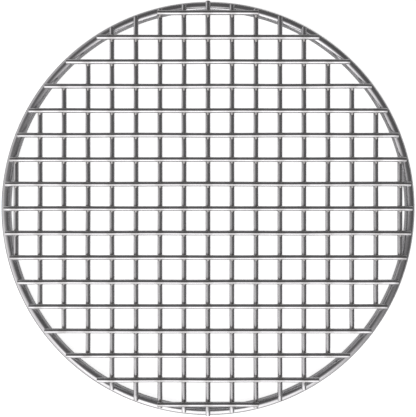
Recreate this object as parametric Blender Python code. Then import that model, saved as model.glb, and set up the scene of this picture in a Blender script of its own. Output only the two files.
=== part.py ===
"""Round wire cooling rack: a grid of straight round wires welded on a thick rim rod.

Metres, +Z up. The origin is the centre of the circle that the rim rests on. The lower wires run
along Y and lie on the rim. The upper wires run along X and lie on the lower ones, so their ends
stand one wire above the rim.
"""

import math

import bpy

# Rim rod, bent to a closed circle
RIM_OUTER_DIAMETER = 0.255
RIM_ROD_DIAMETER = 0.0060

# Grid wires
WIRE_DIAMETER = 0.0030
UPPER_EACH_SIDE = 8
LOWER_EACH_SIDE = 8
UPPER_EDGE = 0.0060  # from the rim's centre line in to the outermost upper wire
LOWER_EDGE = 0.0074  # from the rim's centre line in to the outermost lower wire

# Wire ends
LONG_UPPER_EACH_SIDE = 7  # upper wires that reach out over the rim, beside the middle one
LONG_LOWER_EACH_SIDE = 4
UPPER_END_INSET = 0.0039  # from the rim's outer edge in to the end of a long upper wire
LOWER_END_INSET = 0.0023
MIDDLE_END_INSET = 0.0009  # the middle lower wire is cut a little longer
SHORT_END_REACH = 0.0014  # a short wire ends this far past the last wire that it crosses

# Weld seams, as the gap between neighbouring pieces
WELD_GAP = 0.0003

# Facets
RIM_SEGMENTS = 96
RIM_BEVEL_RESOLUTION = 4
WIRE_BEVEL_RESOLUTION = 2

# Finish: bright drawn stainless steel
STEEL_METALLIC = 1.0
RIM_COLOUR = (0.56, 0.56, 0.57, 1.0)
RIM_ROUGHNESS = 0.24
WIRE_COLOUR = (0.60, 0.60, 0.61, 1.0)
WIRE_ROUGHNESS = 0.20

# What follows from the sizes above
RIM_RADIUS = (RIM_OUTER_DIAMETER - RIM_ROD_DIAMETER) / 2
WIRE_RADIUS = WIRE_DIAMETER / 2
UPPER_PITCH = (RIM_RADIUS - UPPER_EDGE) / UPPER_EACH_SIDE
LOWER_PITCH = (RIM_RADIUS - LOWER_EDGE) / LOWER_EACH_SIDE
RIM_HEIGHT = RIM_ROD_DIAMETER / 2
REST_HEIGHT = RIM_ROD_DIAMETER + WELD_GAP + WIRE_RADIUS
UPPER_HEIGHT = REST_HEIGHT + WIRE_DIAMETER + WELD_GAP
UPPER_END_RADIUS = RIM_OUTER_DIAMETER / 2 - UPPER_END_INSET
LOWER_END_RADIUS = RIM_OUTER_DIAMETER / 2 - LOWER_END_INSET
MIDDLE_END = RIM_OUTER_DIAMETER / 2 - MIDDLE_END_INSET


def clear_scene():
    for old in list(bpy.data.objects):
        bpy.data.objects.remove(old, do_unlink=True)


def steel(name, colour, roughness):
    material = bpy.data.materials.new(name)
    material.use_nodes = True
    shader = material.node_tree.nodes["Principled BSDF"]
    shader.inputs["Base Color"].default_value = colour
    shader.inputs["Roughness"].default_value = roughness
    shader.inputs["Metallic"].default_value = STEEL_METALLIC
    return material


def half_chord(radius, offset):
    """Half the length of the chord that a circle cuts from a line this far from its centre."""
    return math.sqrt(max(radius**2 - offset**2, 0.0))


def rod(name, points, diameter, bevel_resolution, closed, material, collection):
    """A round rod through the points, faceted with a flat along its top and its bottom.

    The flats stand the rod's own radius from its centre line, so heights are the real ones.
    """
    sides = 4 + 2 * bevel_resolution
    curve = bpy.data.curves.new(name, "CURVE")
    curve.dimensions = "3D"
    curve.twist_mode = "Z_UP"
    curve.bevel_depth = diameter / 2 / math.cos(math.pi / sides)
    curve.bevel_resolution = bevel_resolution
    curve.use_fill_caps = not closed
    spline = curve.splines.new("POLY")
    spline.points.add(len(points) - 1)
    for point, place in zip(spline.points, points):
        point.co = (*place, 1.0)
        point.tilt = math.pi / sides
    spline.use_cyclic_u = closed
    spline.use_smooth = True
    curve.materials.append(material)
    made = bpy.data.objects.new(name, curve)
    collection.objects.link(made)
    return made


def rim_points():
    turns = [2 * math.pi * step / RIM_SEGMENTS for step in range(RIM_SEGMENTS)]
    return [(RIM_RADIUS * math.cos(turn), RIM_RADIUS * math.sin(turn), 0.0) for turn in turns]


def short_end(offset, pitch, each_side):
    """Where a wire this far from the middle ends, if it stops at the last wire that it crosses.

    The crossed wires lie at this pitch, and the last one is the outermost inside the rim.
    """
    over_rim = half_chord(RIM_RADIUS, offset)
    last = max(step for step in range(each_side + 1) if step * pitch < over_rim)
    return last * pitch + SHORT_END_REACH


def lower_end(step):
    """How far along Y the lower wire at this step from the middle reaches."""
    offset = abs(step) * LOWER_PITCH
    if step == 0:
        return MIDDLE_END
    if abs(step) <= LONG_LOWER_EACH_SIDE:
        return half_chord(LOWER_END_RADIUS, offset)
    return short_end(offset, UPPER_PITCH, UPPER_EACH_SIDE)


def upper_end(step):
    """How far along X the upper wire at this step from the middle reaches."""
    offset = abs(step) * UPPER_PITCH
    if abs(step) <= LONG_UPPER_EACH_SIDE:
        return half_chord(UPPER_END_RADIUS, offset)
    return short_end(offset, LOWER_PITCH, LOWER_EACH_SIDE)


def make_rim(collection):
    material = steel("rim_steel", RIM_COLOUR, RIM_ROUGHNESS)
    rim = rod(
        "rim", rim_points(), RIM_ROD_DIAMETER, RIM_BEVEL_RESOLUTION, True, material, collection
    )
    rim.location.z = RIM_HEIGHT


def make_wire(name, end, material, collection):
    """A straight wire along its own X, that reaches this far to each side of its origin."""
    points = [(-end, 0.0, 0.0), (end, 0.0, 0.0)]
    return rod(name, points, WIRE_DIAMETER, WIRE_BEVEL_RESOLUTION, False, material, collection)


def make_lower_wires(collection):
    material = steel("lower_wire_steel", WIRE_COLOUR, WIRE_ROUGHNESS)
    steps = range(-LOWER_EACH_SIDE, LOWER_EACH_SIDE + 1)
    for number, step in enumerate(steps, start=1):
        wire = make_wire(f"lower_wire_{number:02d}", lower_end(step), material, collection)
        wire.rotation_euler.z = math.pi / 2
        wire.location = (step * LOWER_PITCH, 0.0, REST_HEIGHT)


def make_upper_wires(collection):
    material = steel("upper_wire_steel", WIRE_COLOUR, WIRE_ROUGHNESS)
    steps = range(-UPPER_EACH_SIDE, UPPER_EACH_SIDE + 1)
    for number, step in enumerate(steps, start=1):
        wire = make_wire(f"upper_wire_{number:02d}", upper_end(step), material, collection)
        wire.location = (0.0, step * UPPER_PITCH, UPPER_HEIGHT)


def main():
    clear_scene()
    collection = bpy.data.collections.new("cooling_rack")
    bpy.context.scene.collection.children.link(collection)
    make_rim(collection)
    make_lower_wires(collection)
    make_upper_wires(collection)


main()
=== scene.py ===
"""The looks of a round wire cooling rack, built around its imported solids.

The rack is a mat of straight round wires, spot-welded where they cross and welded on a thick rod
bent to a circle. Everything is in metres, with +Z up and the rack resting on z = 0.
"""

import logging
import math
import random
from collections.abc import Callable
from dataclasses import dataclass, field
from enum import Enum

import bmesh
import bpy
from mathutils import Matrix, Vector


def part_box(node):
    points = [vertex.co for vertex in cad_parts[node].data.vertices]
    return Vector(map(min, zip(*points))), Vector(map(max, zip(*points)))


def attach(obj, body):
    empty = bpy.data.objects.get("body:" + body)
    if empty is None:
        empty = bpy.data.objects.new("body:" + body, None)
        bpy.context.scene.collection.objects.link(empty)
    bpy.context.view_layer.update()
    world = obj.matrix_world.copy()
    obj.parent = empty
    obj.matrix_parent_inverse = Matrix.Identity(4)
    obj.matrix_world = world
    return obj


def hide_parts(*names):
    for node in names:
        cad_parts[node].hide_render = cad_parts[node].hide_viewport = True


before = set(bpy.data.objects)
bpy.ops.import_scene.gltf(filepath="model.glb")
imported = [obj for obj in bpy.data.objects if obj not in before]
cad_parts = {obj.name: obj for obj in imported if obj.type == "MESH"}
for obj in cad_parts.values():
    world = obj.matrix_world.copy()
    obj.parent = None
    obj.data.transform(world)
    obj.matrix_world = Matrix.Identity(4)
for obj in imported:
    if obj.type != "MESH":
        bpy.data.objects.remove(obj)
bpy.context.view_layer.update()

LOG = logging.getLogger("cooling_rack")
MM = 0.001
FULL_TURN = 2 * math.pi
UP = Vector((0.0, 0.0, 1.0))
WHITE = (1.0, 1.0, 1.0, 1.0)

Point = tuple[float, float]
Place = tuple[float, float, float]
Colour = tuple[float, float, float]
Surface = Callable[[float, float], float]
Ring = tuple[Vector, Vector, float]
Socket = bpy.types.NodeSocket


class Layer(Enum):
    """The two layers of the grid: the lower wires run along Y and the upper ones along X."""

    LOWER = "lower"
    UPPER = "upper"


class Slot(Enum):
    """The record's material slots."""

    RIM = "rim"
    GRID = "grid_wire"


class Graph:
    """A short way to add and join a material's nodes."""

    def __init__(self, tree: bpy.types.NodeTree) -> None:
        """Keep the tree that the nodes go into.

        Args:
            tree: The material's or the world's node tree.
        """
        self.tree = tree

    def add(self, kind: str, **settings: object) -> bpy.types.Node:
        """Add a node and set its properties.

        Args:
            kind: The node's type name, without its "ShaderNode" start.
            settings: Properties of the node, by name.

        Returns:
            The new node.
        """
        node = self.tree.nodes.new("ShaderNode" + kind)
        for name, value in settings.items():
            setattr(node, name, value)
        return node

    def join(self, source: Socket, target: Socket) -> None:
        """Link one socket to another."""
        self.tree.links.new(source, target)

    def math(self, operation: str, *values: Socket | float) -> Socket:
        """Add a Math node.

        Args:
            operation: The node's operation.
            values: A socket or a number for each of the operation's inputs.

        Returns:
            The node's output socket.
        """
        node = self.add("Math", operation=operation)
        for place, value in enumerate(values):
            if isinstance(value, Socket):
                self.join(value, node.inputs[place])
            else:
                node.inputs[place].default_value = value
        return node.outputs[0]

    def spread(
        self, value: Socket, source: Point, target: Point, how: str = "LINEAR"
    ) -> Socket:
        """Map a value from one range to another, and hold it at the ends.

        Args:
            value: The socket that gives the value.
            source: The range that it comes in.
            target: The range that it goes to.
            how: The node's interpolation.

        Returns:
            The mapped value's socket.
        """
        node = self.add("MapRange", interpolation_type=how)
        self.join(value, node.inputs["Value"])
        for name, number in zip(
            ("From Min", "From Max", "To Min", "To Max"), (*source, *target)
        ):
            node.inputs[name].default_value = number
        return node.outputs["Result"]

    def noise(self, place: Socket, stretch: Place, detail: float) -> Socket:
        """Add noise on stretched coordinates.

        Args:
            place: The coordinates.
            stretch: How many grains to a metre along each coordinate.
            detail: How many finer layers the noise has.

        Returns:
            The noise's value socket.
        """
        mapping = self.add("Mapping")
        mapping.inputs["Scale"].default_value = stretch
        self.join(place, mapping.inputs["Vector"])
        texture = self.add("TexNoise")
        texture.inputs["Scale"].default_value = 1.0
        texture.inputs["Detail"].default_value = detail
        self.join(mapping.outputs["Vector"], texture.inputs["Vector"])
        return texture.outputs["Fac"]

    def blend(self, share: Socket, first: Socket | Colour, second: Socket | Colour) -> Socket:
        """Mix two colours.

        Args:
            share: How much of the second one there is.
            first: A socket or a colour.
            second: A socket or a colour.

        Returns:
            The mixed colour's socket.
        """
        node = self.add("Mix", data_type="RGBA")
        self.join(share, node.inputs["Factor"])
        for name, value in (("A", first), ("B", second)):
            socket = next(s for s in node.inputs if s.name == name and s.type == "RGBA")
            if isinstance(value, Socket):
                self.join(value, socket)
            else:
                socket.default_value = (*value, 1.0)
        return next(s for s in node.outputs if s.type == "RGBA")


@dataclass(frozen=True)
class BrightSteel:
    """Bright drawn stainless steel.

    It has the faint lines that the drawing die leaves along the wire, a slow drift of gloss from
    handling and washing, and round each spot weld a rougher finish and a darker colour that is
    painted contact shade. The grains are counted to a metre, along the wire and then round it, and
    each has its own number of finer layers.
    """

    name: str
    clean: Colour
    dull: Colour
    gloss: Point
    line_depth: float
    weld_pitch: Point = (0.0, 0.0)
    # Round each crossing of the grid: the darker colour is painted contact shade, and the added
    # roughness is the weld's duller finish.
    shade_and_dull_reach: Point = (1.4 * MM, 3.6 * MM)
    painted_shade_colour: Colour = (0.33, 0.32, 0.31)
    shade_and_dull_strength: float = 0.0
    halo_roughness: float = 0.10
    drift_grain: Place = (38.0, 160.0, 1.0)
    drift_detail: float = 3.0
    line_grain: Place = (90.0, 5200.0, 1.0)
    line_detail: float = 4.0
    speck_grain: Place = (1500.0, 1500.0, 1.0)
    speck_detail: float = 2.0
    colour_range: Point = (0.38, 0.68)
    gloss_range: Point = (0.36, 0.66)
    drift_in_gloss: float = 0.65
    speck_height: float = 0.35
    bump_strength: float = 0.5

    def material(self) -> bpy.types.Material:
        """Build the material.

        Returns:
            The new material.
        """
        made = bpy.data.materials.new(self.name)
        made.use_nodes = True
        graph = Graph(made.node_tree)
        shader = made.node_tree.nodes["Principled BSDF"]
        shader.inputs["Metallic"].default_value = 1.0
        lay = graph.add("UVMap").outputs["UV"]
        drift = graph.noise(lay, self.drift_grain, self.drift_detail)
        lines = graph.noise(lay, self.line_grain, self.line_detail)
        specks = graph.noise(lay, self.speck_grain, self.speck_detail)
        share = graph.spread(drift, self.colour_range, (0.0, 1.0))
        colour = graph.blend(share, self.clean, self.dull)
        worn = graph.math("MULTIPLY", drift, self.drift_in_gloss)
        drawn = graph.math("MULTIPLY", lines, 1.0 - self.drift_in_gloss)
        rough = graph.spread(graph.math("ADD", worn, drawn), self.gloss_range, self.gloss)
        # Painted contact shade: the colour is darkened round each crossing, where the wires shade
        # each other; the added roughness is the weld's duller finish.
        if self.shade_and_dull_strength:
            shade_and_dull_mask = self.shade_and_dull_mask(graph)
            colour = graph.blend(shade_and_dull_mask, colour, self.painted_shade_colour)
            rough = graph.math("ADD", rough, graph.math("MULTIPLY", shade_and_dull_mask, self.halo_roughness))
        graph.join(colour, shader.inputs["Base Color"])
        graph.join(rough, shader.inputs["Roughness"])
        height = graph.math("ADD", lines, graph.math("MULTIPLY", specks, self.speck_height))
        bump = graph.add("Bump")
        bump.inputs["Distance"].default_value = self.line_depth
        bump.inputs["Strength"].default_value = self.bump_strength
        graph.join(height, bump.inputs["Height"])
        graph.join(bump.outputs["Normal"], shader.inputs["Normal"])
        return made

    def shade_and_dull_mask(self, graph: Graph) -> Socket:
        """Work out how close a point is to the nearest weld of the grid, which sets the painted
        contact shade and the rougher finish there.

        Args:
            graph: The material's nodes.

        Returns:
            A socket that is highest at a weld and falls to zero round it.
        """
        place = graph.add("SeparateXYZ")
        graph.join(graph.add("TexCoord").outputs["Object"], place.inputs[0])
        off_x = graph.math("PINGPONG", place.outputs["X"], self.weld_pitch[0] / 2)
        off_y = graph.math("PINGPONG", place.outputs["Y"], self.weld_pitch[1] / 2)
        square = graph.math(
            "ADD", graph.math("POWER", off_x, 2.0), graph.math("POWER", off_y, 2.0)
        )
        return graph.spread(
            graph.math("SQRT", square), self.shade_and_dull_reach, (self.shade_and_dull_strength, 0.0)
        )


@dataclass(frozen=True)
class LightTable:
    """The matt white table that the rack stands on, lit from below."""

    albedo: float = 0.74
    mottle: float = 0.985
    grain: Place = (60.0, 60.0, 60.0)
    grain_detail: float = 2.0
    roughness: float = 0.9
    shine: float = 0.1
    glow: float = 0.13
    glow_seen: float = 0.72

    def material(self) -> bpy.types.Material:
        """Build the material.

        Most of the glow is what the camera sees. The steel mirrors only a little of it.

        Returns:
            The new material.
        """
        made = bpy.data.materials.new("white_table")
        made.use_nodes = True
        graph = Graph(made.node_tree)
        shader = made.node_tree.nodes["Principled BSDF"]
        shader.inputs["Roughness"].default_value = self.roughness
        shader.inputs["Specular IOR Level"].default_value = self.shine
        shader.inputs["Emission Color"].default_value = WHITE
        seen = graph.add("LightPath").outputs["Is Camera Ray"]
        glow = graph.spread(seen, (0.0, 1.0), (self.glow, self.glow + self.glow_seen))
        graph.join(glow, shader.inputs["Emission Strength"])
        grain = graph.noise(
            graph.add("TexCoord").outputs["Object"], self.grain, self.grain_detail
        )
        shade = (self.albedo,) * 3
        soft = (self.mottle * self.albedo,) * 3
        graph.join(graph.blend(grain, shade, soft), shader.inputs["Base Color"])
        return made


@dataclass
class RoundBar:
    """A round bar swept along a path, with the cut ends slightly rounded over."""

    radius: float
    sides: int = 24
    end_edge: float = 0.28 * MM
    end_steps: int = 3

    def ring(
        self, mesh: bmesh.types.BMesh, centre: Vector, along: Vector, radius: float
    ) -> list[bmesh.types.BMVert]:
        """Add one ring of points across the bar, starting at its underside.

        Args:
            mesh: The mesh that the ring goes into.
            centre: The ring's centre.
            along: The direction of the bar there.
            radius: The ring's radius.

        Returns:
            The ring's points in order.
        """
        side = UP.cross(along).normalized()
        top = along.cross(side)
        turns = (FULL_TURN * step / self.sides for step in range(self.sides))
        return [
            mesh.verts.new(centre + radius * (math.sin(turn) * side - math.cos(turn) * top))
            for turn in turns
        ]

    def rings(self, points: list[Vector], closed: bool) -> list[Ring]:
        """List the rings of a bar: where each is, which way it faces and how big it is.

        Args:
            points: The bar's centre line.
            closed: Whether the bar joins up with itself.

        Returns:
            A centre, a direction and a radius for each ring.
        """
        count = len(points)
        found = []
        for place, point in enumerate(points):
            before = points[place - 1] if place or closed else point
            after = points[(place + 1) % count] if place < count - 1 or closed else point
            found.append((point, (after - before).normalized(), self.radius))
        if closed:
            return found
        return self.cut_end(found[0], -1) + found[1:-1] + self.cut_end(found[-1], 1)

    def cut_end(self, last: Ring, way: int) -> list[Ring]:
        """Replace a bar's end ring by the rings of its rounded edge.

        Args:
            last: The end ring.
            way: 1 at the path's end and -1 at its start.

        Returns:
            The rings in the path's order.
        """
        point, along, radius = last
        found = []
        for step in range(self.end_steps + 1):
            turn = math.pi / 2 * step / self.end_steps
            back = self.end_edge * (1 - math.sin(turn))
            shrink = self.end_edge * (1 - math.cos(turn))
            found.append((point - way * back * along, along, radius - shrink))
        return found if way > 0 else found[::-1]

    def build(
        self, name: str, points: list[Vector], closed: bool, phase: float = 0.0
    ) -> bpy.types.Object:
        """Build the bar as one closed mesh.

        Args:
            name: The piece's name.
            points: The bar's centre line.
            closed: Whether the bar joins up with itself.
            phase: Where along the steel's grain the bar was cut.

        Returns:
            The new object.
        """
        mesh = bmesh.new()
        lay = mesh.loops.layers.uv.new("lay")
        listed = self.rings(points, closed)
        rings = [self.ring(mesh, *entry) for entry in listed]
        distance = [phase]
        for before, after in zip(listed, listed[1:] + listed[:1]):
            distance.append(distance[-1] + (after[0] - before[0]).length)
        girth = FULL_TURN * self.radius
        last = len(rings) if closed else len(rings) - 1
        for place in range(last):
            near, far = rings[place], rings[(place + 1) % len(rings)]
            for step in range(self.sides):
                following = (step + 1) % self.sides
                face = mesh.faces.new((near[step], near[following], far[following], far[step]))
                face.smooth = True
                across = (step, step + 1, step + 1, step)
                length = (place, place, place + 1, place + 1)
                for loop, turn, row in zip(face.loops, across, length):
                    loop[lay].uv = (distance[row], girth * turn / self.sides)
        if not closed:
            for ring in (rings[0], rings[-1]):
                cap = mesh.faces.new(ring)
                for edge in cap.edges:
                    edge.smooth = False
                for loop in cap.loops:
                    loop[lay].uv = (loop.vert.co.x + loop.vert.co.y + phase, loop.vert.co.z)
        bmesh.ops.recalc_face_normals(mesh, faces=mesh.faces)
        return place_mesh(name, mesh)


@dataclass
class Rim:
    """The thick rod bent to a circle, which the grid is welded on."""

    node: str = "rim"
    segments: int = 240
    sides: int = 36
    rod_radius: float = field(init=False)
    radius: float = field(init=False)
    height: float = field(init=False)

    def __post_init__(self) -> None:
        """Take the rod's sizes from its solid."""
        low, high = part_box(self.node)
        self.rod_radius = (high.z - low.z) / 2
        self.radius = (high.x - low.x) / 2 - self.rod_radius
        self.height = (high.z + low.z) / 2

    def surface(self, x: float, y: float) -> float:
        """The height of the rod's upper side at this place, or of its axis beside the rod."""
        off = math.hypot(x, y) - self.radius
        return self.height + math.sqrt(max(self.rod_radius**2 - off**2, 0.0))

    def chord(self, offset: float) -> float:
        """Half the length of the rim's chord this far from its centre."""
        return math.sqrt(max(self.radius**2 - offset**2, 0.0))

    def build(self, material: bpy.types.Material) -> bpy.types.Object:
        """Build and dress the rod.

        Args:
            material: Its finish.

        Returns:
            The new piece.
        """
        turns = [FULL_TURN * step / self.segments for step in range(self.segments)]
        points = [
            Vector((self.radius * math.cos(turn), self.radius * math.sin(turn), self.height))
            for turn in turns
        ]
        made = RoundBar(self.rod_radius, self.sides).build("rim_rod", points, True)
        return dress(made, material, Slot.RIM, self.node)


@dataclass
class GridWire:
    """One straight wire of the grid, which sways a little as a hand-laid wire does."""

    node: str
    layer: Layer
    seed: int
    spacing: float = 4.0 * MM
    wander: float = 0.07 * MM
    wave_length: Point = (50.0 * MM, 130.0 * MM)
    wave_count: int = 2
    steady_end: float = 10.0 * MM
    grain_step: float = 0.37
    radius: float = field(init=False)
    offset: float = field(init=False)
    end: float = field(init=False)
    height: float = field(init=False)
    waves: list[Point] = field(init=False)

    def __post_init__(self) -> None:
        """Take the wire's sizes from its solid, and draw its waves."""
        low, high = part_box(self.node)
        across = 0 if self.layer is Layer.LOWER else 1
        self.radius = (high[across] - low[across]) / 2
        self.offset = (high[across] + low[across]) / 2
        self.end = high[1 - across]
        self.height = (high.z + low.z) / 2
        chance = random.Random(self.seed)
        self.waves = [
            (chance.uniform(*self.wave_length), chance.uniform(0.0, FULL_TURN))
            for _ in range(self.wave_count)
        ]

    def point(self, place: float) -> Vector:
        """Work out a point of the wire's centre line.

        Args:
            place: How far along the wire it is, from the middle.

        Returns:
            The point. The sway fades out towards the wire's ends.
        """
        fade = min(1.0, (self.end - abs(place)) / self.steady_end)
        sway = sum(math.sin(FULL_TURN * place / length + turn) for length, turn in self.waves)
        across = self.offset + self.wander * fade * sway / self.wave_count
        if self.layer is Layer.LOWER:
            return Vector((across, place, self.height))
        return Vector((place, across, self.height))

    def spot(self, place: float) -> Point:
        """The place over the table of a point along the wire."""
        found = self.point(place)
        return found.x, found.y

    def half_depth(self, x: float, y: float) -> float:
        """Half the wire's depth over this place, and zero beside the wire."""
        off = x - self.point(y).x if self.layer is Layer.LOWER else y - self.point(x).y
        return math.sqrt(max(self.radius**2 - off**2, 0.0))

    def underside(self, x: float, y: float) -> float:
        """The height of the wire's lower side over this place."""
        return self.height - self.half_depth(x, y)

    def upperside(self, x: float, y: float) -> float:
        """The height of the wire's upper side over this place."""
        return self.height + self.half_depth(x, y)

    def build(self, name: str, material: bpy.types.Material) -> bpy.types.Object:
        """Build and dress the wire.

        Args:
            name: The piece's name.
            material: Its finish.

        Returns:
            The new piece.
        """
        count = max(2, round(2 * self.end / self.spacing))
        places = [self.end * (2 * step / count - 1) for step in range(count + 1)]
        points = [self.point(place) for place in places]
        phase = self.grain_step * self.seed
        made = RoundBar(self.radius).build(name, points, False, phase)
        return dress(made, material, Slot.GRID, self.node)


@dataclass
class Welds:
    """The spot welds between crossing pieces.

    Each is a small waisted nugget of steel, which spreads until the pieces are the gap apart. A
    crossing's weld has also pushed out two tongues of steel, the flow, along the lower wire.
    """

    name: str
    gap: float = 1.05 * MM
    sides: int = 14
    waist: float = 0.22
    waist_fullness: float = 0.7
    levels: tuple[float, ...] = (0.0, 0.16, 0.5, 0.84, 1.0)
    bite: float = 0.10 * MM
    root_bite: float = 0.20 * MM
    core_bite: float = 0.30 * MM
    root_inset: float = 0.2
    least_reach: float = 0.5 * MM
    most_reach: float = 1.45 * MM
    reach_step: float = 0.05 * MM
    flow: float = 1.0 * MM
    flow_height: float = 1.0 * MM
    flow_start: float = 0.55
    flow_width: float = 0.92
    flow_fall: float = 1.5
    flow_bite: float = 0.025 * MM
    flow_rows: int = 5
    flow_steps: int = 6
    mesh: bmesh.types.BMesh = field(init=False)
    lay: bmesh.types.BMLayerItem = field(init=False)
    count: int = field(init=False)

    def __post_init__(self) -> None:
        """Start with no weld."""
        self.mesh = bmesh.new()
        self.lay = self.mesh.loops.layers.uv.new("lay")
        self.count = 0

    def reach(self, centre: Point, way: Point, below: Surface, above: Surface) -> float:
        """How far a weld spreads one way, until the two surfaces are too far apart.

        Args:
            centre: The weld's place.
            way: The unit direction that it spreads in.
            below: The height of the lower piece's upper side.
            above: The height of the upper piece's lower side.

        Returns:
            The distance in metres.
        """
        distance = self.least_reach
        while distance < self.most_reach:
            x = centre[0] + way[0] * distance
            y = centre[1] + way[1] * distance
            if above(x, y) - below(x, y) >= self.gap:
                break
            distance += self.reach_step
        return distance

    def add(self, centre: Point, below: Surface, above: Surface) -> None:
        """Add one weld.

        Args:
            centre: The weld's place.
            below: The height of the lower piece's upper side.
            above: The height of the upper piece's lower side.
        """
        rows = []
        for step in range(self.sides):
            turn = FULL_TURN * step / self.sides
            way = (math.cos(turn), math.sin(turn))
            out = self.reach(centre, way, below, above)
            rows.append(self.profile(centre, way, out, below, above))
        verts = [[self.mesh.verts.new(point) for point in row] for row in rows]
        foot = self.mesh.verts.new((*centre, below(*centre) - self.core_bite))
        head = self.mesh.verts.new((*centre, above(*centre) + self.core_bite))
        for near, far in zip(verts, verts[1:] + verts[:1]):
            for level in range(len(near) - 1):
                self.skin([near[level], far[level], far[level + 1], near[level + 1]])
            self.skin([foot, far[0], near[0]])
            self.skin([head, near[-1], far[-1]])
        self.count += 1

    def profile(
        self, centre: Point, way: Point, out: float, below: Surface, above: Surface
    ) -> list[Place]:
        """The points of a weld's side, from inside the lower piece to inside the upper one.

        Args:
            centre: The weld's place.
            way: The unit direction from it.
            out: How far the weld spreads that way.
            below: The height of the lower piece's upper side.
            above: The height of the upper piece's lower side.

        Returns:
            The points in order.
        """
        x = centre[0] + way[0] * out
        y = centre[1] + way[1] * out
        low, high = below(x, y), above(x, y)
        root_x = x - way[0] * self.root_inset * out
        root_y = y - way[1] * self.root_inset * out
        sunk = {self.levels[0]: -self.bite, self.levels[-1]: self.bite}
        found = [(root_x, root_y, low - self.root_bite)]
        for level in self.levels:
            narrowing = self.waist * math.sin(math.pi * level) ** self.waist_fullness
            reach = out * (1 - narrowing)
            height = low + (high - low) * level + sunk.get(level, 0.0)
            found.append((centre[0] + way[0] * reach, centre[1] + way[1] * reach, height))
        found.append((root_x, root_y, high + self.root_bite))
        return found

    def add_flow(self, lower: GridWire, upper: GridWire, way: int) -> None:
        """Add the steel that a crossing's weld has pushed out along the lower wire's crest.

        It is a tongue that leans on the upper wire and thins out to a point.

        Args:
            lower: The lower wire.
            upper: The upper wire.
            way: 1 for the side towards +Y and -1 for the side towards -Y.
        """
        start, tip = self.flow_start * upper.radius, upper.radius + self.flow
        middle_y = upper.point(lower.offset).y
        rings = []
        for row in range(self.flow_rows):
            share = row / self.flow_rows
            y = middle_y + way * (start + (tip - start) * share)
            half = self.flow_width * lower.radius * math.sqrt(1 - share)
            rise = self.flow_height * (1 - share) ** self.flow_fall
            rings.append(self.flow_ring(lower, y, half, rise))
        end = middle_y + way * tip
        crest = (lower.point(end).x, end)
        point = self.mesh.verts.new((*crest, lower.upperside(*crest) - self.flow_bite))
        for near, far in zip(rings, rings[1:]):
            for step, vert in enumerate(near):
                following = (step + 1) % len(near)
                self.skin([vert, near[following], far[following], far[step]])
        for step, vert in enumerate(rings[-1]):
            self.skin([vert, rings[-1][(step + 1) % len(rings[-1])], point])
        self.skin(rings[0])

    def flow_ring(
        self, lower: GridWire, y: float, half: float, rise: float
    ) -> list[bmesh.types.BMVert]:
        """Add one section across the tongue: its crown, and its foot inside the wire.

        Args:
            lower: The lower wire.
            y: The section's place.
            half: Half its width.
            rise: How high its crown stands over the wire.

        Returns:
            The section's points in order.
        """
        middle = lower.point(y).x
        shares = [2 * step / self.flow_steps - 1 for step in range(self.flow_steps + 1)]
        crown, foot = [], []
        for share in shares:
            x = middle + half * share
            skin = lower.upperside(x, y)
            crown.append((x, y, skin + rise * (1 - share**2) - self.flow_bite))
            foot.append((x, y, skin - self.bite))
        return [self.mesh.verts.new(spot) for spot in crown + foot[::-1]]

    def skin(self, verts: list[bmesh.types.BMVert]) -> None:
        """Add one smooth face and lay the grain's coordinates on it.

        Args:
            verts: The face's corners in order.
        """
        face = self.mesh.faces.new(verts)
        face.smooth = True
        for loop in face.loops:
            loop[self.lay].uv = (loop.vert.co.x + loop.vert.co.z, loop.vert.co.y)

    def build(self, material: bpy.types.Material) -> bpy.types.Object:
        """Turn the welds into one dressed piece.

        Args:
            material: Their finish.

        Returns:
            The new piece.
        """
        bmesh.ops.recalc_face_normals(self.mesh, faces=self.mesh.faces)
        return dress(place_mesh(self.name, self.mesh), material, Slot.GRID)


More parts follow.
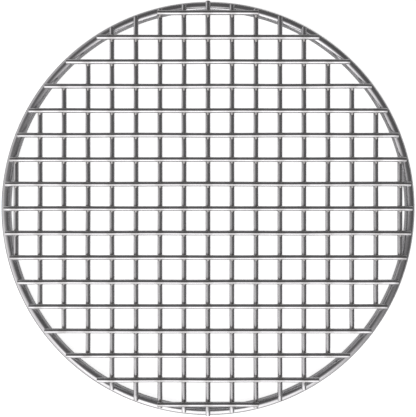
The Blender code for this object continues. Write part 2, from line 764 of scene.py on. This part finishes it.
@dataclass
class Grid:
    """The mat of crossed wires and the welds that hold it together and on the rim."""

    rim: Rim
    each_layer: int = 17
    seed_step: int = 100
    end_room: float = 1.25 * MM
    seat: float = 0.5 * MM
    rim_weld_gap: float = 0.95 * MM
    wires: dict[Layer, list[GridWire]] = field(init=False)

    def __post_init__(self) -> None:
        """Take every wire's sizes from its solid."""
        self.wires = {
            layer: [
                GridWire(f"{layer.value}_wire_{number:02d}", layer, self.seed_step * place + number)
                for number in range(1, self.each_layer + 1)
            ]
            for place, layer in enumerate(Layer)
        }

    def cross(self, lower: GridWire, upper: GridWire) -> bool:
        """Whether a lower and an upper wire cross."""
        return lower.end > abs(upper.offset) and upper.end > abs(lower.offset)

    @property
    def pitch(self) -> Point:
        """The distance between the lower wires and between the upper ones."""
        lower, upper = self.wires[Layer.LOWER], self.wires[Layer.UPPER]
        return lower[1].offset - lower[0].offset, upper[1].offset - upper[0].offset

    def crossing_welds(self) -> Welds:
        """Weld the wires where they cross, with a flow on each side that has room for one.

        Returns:
            The welds.
        """
        welds = Welds("crossing_welds")
        for upper in self.wires[Layer.UPPER]:
            for lower in self.wires[Layer.LOWER]:
                if not self.cross(lower, upper):
                    continue
                spot = (lower.point(upper.offset).x, upper.point(lower.offset).y)
                welds.add(spot, lower.upperside, upper.underside)
                for way in (-1, 1):
                    if upper.offset * way + upper.radius + welds.flow < lower.end:
                        welds.add_flow(lower, upper, way)
        return welds

    def rim_welds(self) -> Welds:
        """Weld both ends of each lower wire that reaches the rim.

        Returns:
            The welds.
        """
        welds = Welds("rim_welds", gap=self.rim_weld_gap)
        for wire in self.wires[Layer.LOWER]:
            crest = self.rim.chord(wire.offset)
            if wire.end < crest - self.seat:
                continue
            place = min(crest, wire.end - self.end_room)
            for way in (-1, 1):
                welds.add(wire.spot(way * place), self.rim.surface, wire.underside)
        return welds

    def build(self, wire_steel: bpy.types.Material, weld_steel: bpy.types.Material) -> None:
        """Build and dress the wires and their welds.

        Args:
            wire_steel: The wires' finish.
            weld_steel: The welds' finish.
        """
        for layer, wires in self.wires.items():
            for number, wire in enumerate(wires, start=1):
                made = wire.build(f"{layer.value}_rod_{number:02d}", wire_steel)
                LOG.info("%s: %d faces", made.name, len(made.data.polygons))
        for welds in (self.crossing_welds(), self.rim_welds()):
            made = welds.build(weld_steel)
            LOG.info("%s: %d welds", made.name, welds.count)


@dataclass(frozen=True)
class SoftLight:
    """A large soft panel, aimed at the rack."""

    name: str
    tilt: float
    heading: float
    distance: float
    size: Point
    radiance: float

    def build(self) -> None:
        """Hang the panel. Tilt is from straight up, and heading turns from -Y towards -X."""
        tilt, heading = math.radians(self.tilt), math.radians(self.heading)
        way = Vector(
            (
                -math.sin(tilt) * math.sin(heading),
                -math.sin(tilt) * math.cos(heading),
                math.cos(tilt),
            )
        )
        data = bpy.data.lights.new(self.name, "AREA")
        data.shape = "RECTANGLE"
        data.size, data.size_y = self.size
        data.energy = self.radiance * math.pi * self.size[0] * self.size[1]
        made = bpy.data.objects.new(self.name, data)
        made.location = way * self.distance
        made.rotation_euler = way.to_track_quat("Z", "Y").to_euler()
        bpy.context.scene.collection.objects.link(made)


@dataclass(frozen=True)
class SoftGlow:
    """A wide soft brightening of the room, strongest in one direction."""

    way: Place
    edge: Point
    strength: float

    def add(self, graph: Graph, view: Socket) -> Socket:
        """Work out how bright the glow is in a direction.

        Args:
            graph: The world's nodes.
            view: The direction.

        Returns:
            The brightness.
        """
        facing = graph.add("VectorMath", operation="DOT_PRODUCT")
        graph.join(view, facing.inputs[0])
        facing.inputs[1].default_value = Vector(self.way).normalized()
        return graph.spread(facing.outputs["Value"], self.edge, (0.0, self.strength), "SMOOTHSTEP")


@dataclass
class Studio:
    """A pale table, soft light from the near side and the left, and a camera looking straight down.

    The frame size is how much the camera takes in at the rim's plane.
    """

    camera_height: float = 0.403
    rim_plane: float = 3.0 * MM
    frame_size: float = 0.2576
    sensor: float = 36.0
    clip: Point = (0.01, 20.0)
    table_size: float = 6.0
    table_segments: int = 8
    ambient: float = 0.13
    ambient_tint: tuple[float, float, float, float] = (1.015, 0.99, 1.0, 1.0)
    backdrop: float = 1.0
    glows: tuple[SoftGlow, ...] = (
        SoftGlow(way=(-0.28, -0.92, 0.27), edge=(0.16, 0.80), strength=0.98),
        SoftGlow(way=(-0.95, 0.28, -0.12), edge=(0.36, 1.55), strength=1.45),
    )
    lights: tuple[SoftLight, ...] = (
        SoftLight(
            "near_panel", tilt=51.0, heading=5.0, distance=2.4, size=(2.5, 2.6), radiance=0.62
        ),
    )

    def build(self) -> None:
        """Build the table, the lights, the surroundings and the camera."""
        self.table()
        for light in self.lights:
            light.build()
        self.surroundings()
        self.camera()
        bpy.context.scene.view_settings.view_transform = "Standard"

    def table(self) -> None:
        """Build the table top."""
        mesh = bmesh.new()
        count = self.table_segments
        bmesh.ops.create_grid(mesh, x_segments=count, y_segments=count, size=self.table_size / 2)
        made = place_mesh("table", mesh)
        made.data.materials.append(LightTable().material())

    def surroundings(self) -> None:
        """Set the dim room with its soft glows, and the pale backdrop that the camera sees."""
        world = bpy.data.worlds.new("studio")
        world.use_nodes = True
        graph = Graph(world.node_tree)
        shade = world.node_tree.nodes["Background"]
        shade.inputs["Color"].default_value = self.ambient_tint
        view = graph.add("TexCoord").outputs["Generated"]
        lit = self.ambient
        for glow in self.glows:
            lit = graph.math("ADD", lit, glow.add(graph, view))
        seen = graph.add("LightPath").outputs["Is Camera Ray"]
        bright = graph.math("MAXIMUM", lit, graph.math("MULTIPLY", seen, self.backdrop))
        graph.join(bright, shade.inputs["Strength"])
        bpy.context.scene.world = world

    def camera(self) -> None:
        """Hang the camera over the rack's centre."""
        data = bpy.data.cameras.new("camera")
        data.sensor_width = self.sensor
        distance = self.camera_height - self.rim_plane
        data.lens = self.sensor * distance / self.frame_size
        data.clip_start, data.clip_end = self.clip
        made = bpy.data.objects.new("camera", data)
        made.location = (0.0, 0.0, self.camera_height)
        bpy.context.scene.collection.objects.link(made)
        bpy.context.scene.camera = made


def place_mesh(name: str, mesh: bmesh.types.BMesh) -> bpy.types.Object:
    """Turn a finished mesh into an object of the scene, and free it.

    Args:
        name: The object's name.
        mesh: The finished mesh.

    Returns:
        The new object.
    """
    data = bpy.data.meshes.new(name)
    mesh.to_mesh(data)
    mesh.free()
    made = bpy.data.objects.new(name, data)
    bpy.context.scene.collection.objects.link(made)
    return made


def dress(
    piece: bpy.types.Object, material: bpy.types.Material, slot: Slot, *nodes: str
) -> bpy.types.Object:
    """Give a piece its finish and its place on the rack.

    Args:
        piece: The piece.
        material: Its finish.
        slot: The record's slot for that finish. Not used.
        nodes: The solids that it stands for.

    Returns:
        The same piece.
    """
    piece.data.materials.append(material)
    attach(piece, "root")
    if nodes:
        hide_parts(*nodes)
    return piece


def main() -> None:
    """Build the rack and its studio."""
    logging.basicConfig(level=logging.INFO, format="%(name)s %(message)s")
    rim = Rim()
    grid = Grid(rim)
    rim_steel = BrightSteel(
        "rim_steel",
        clean=(0.66, 0.66, 0.67),
        dull=(0.55, 0.55, 0.56),
        gloss=(0.14, 0.26),
        line_depth=0.006 * MM,
    )
    wire_steel = BrightSteel(
        "wire_steel",
        clean=(0.68, 0.68, 0.69),
        dull=(0.58, 0.58, 0.59),
        gloss=(0.11, 0.22),
        line_depth=0.004 * MM,
        weld_pitch=grid.pitch,
        # Strength of the painted contact shade and of the rougher weld finish round each crossing.
        shade_and_dull_strength=0.45,
    )
    weld_steel = BrightSteel(
        "weld_steel",
        clean=(0.46, 0.45, 0.44),
        dull=(0.34, 0.33, 0.32),
        gloss=(0.30, 0.45),
        line_depth=0.02 * MM,
    )
    made = rim.build(rim_steel.material())
    LOG.info("%s: %d faces", made.name, len(made.data.polygons))
    grid.build(wire_steel.material(), weld_steel.material())
    Studio().build()


if __name__ == "__main__":
    main()
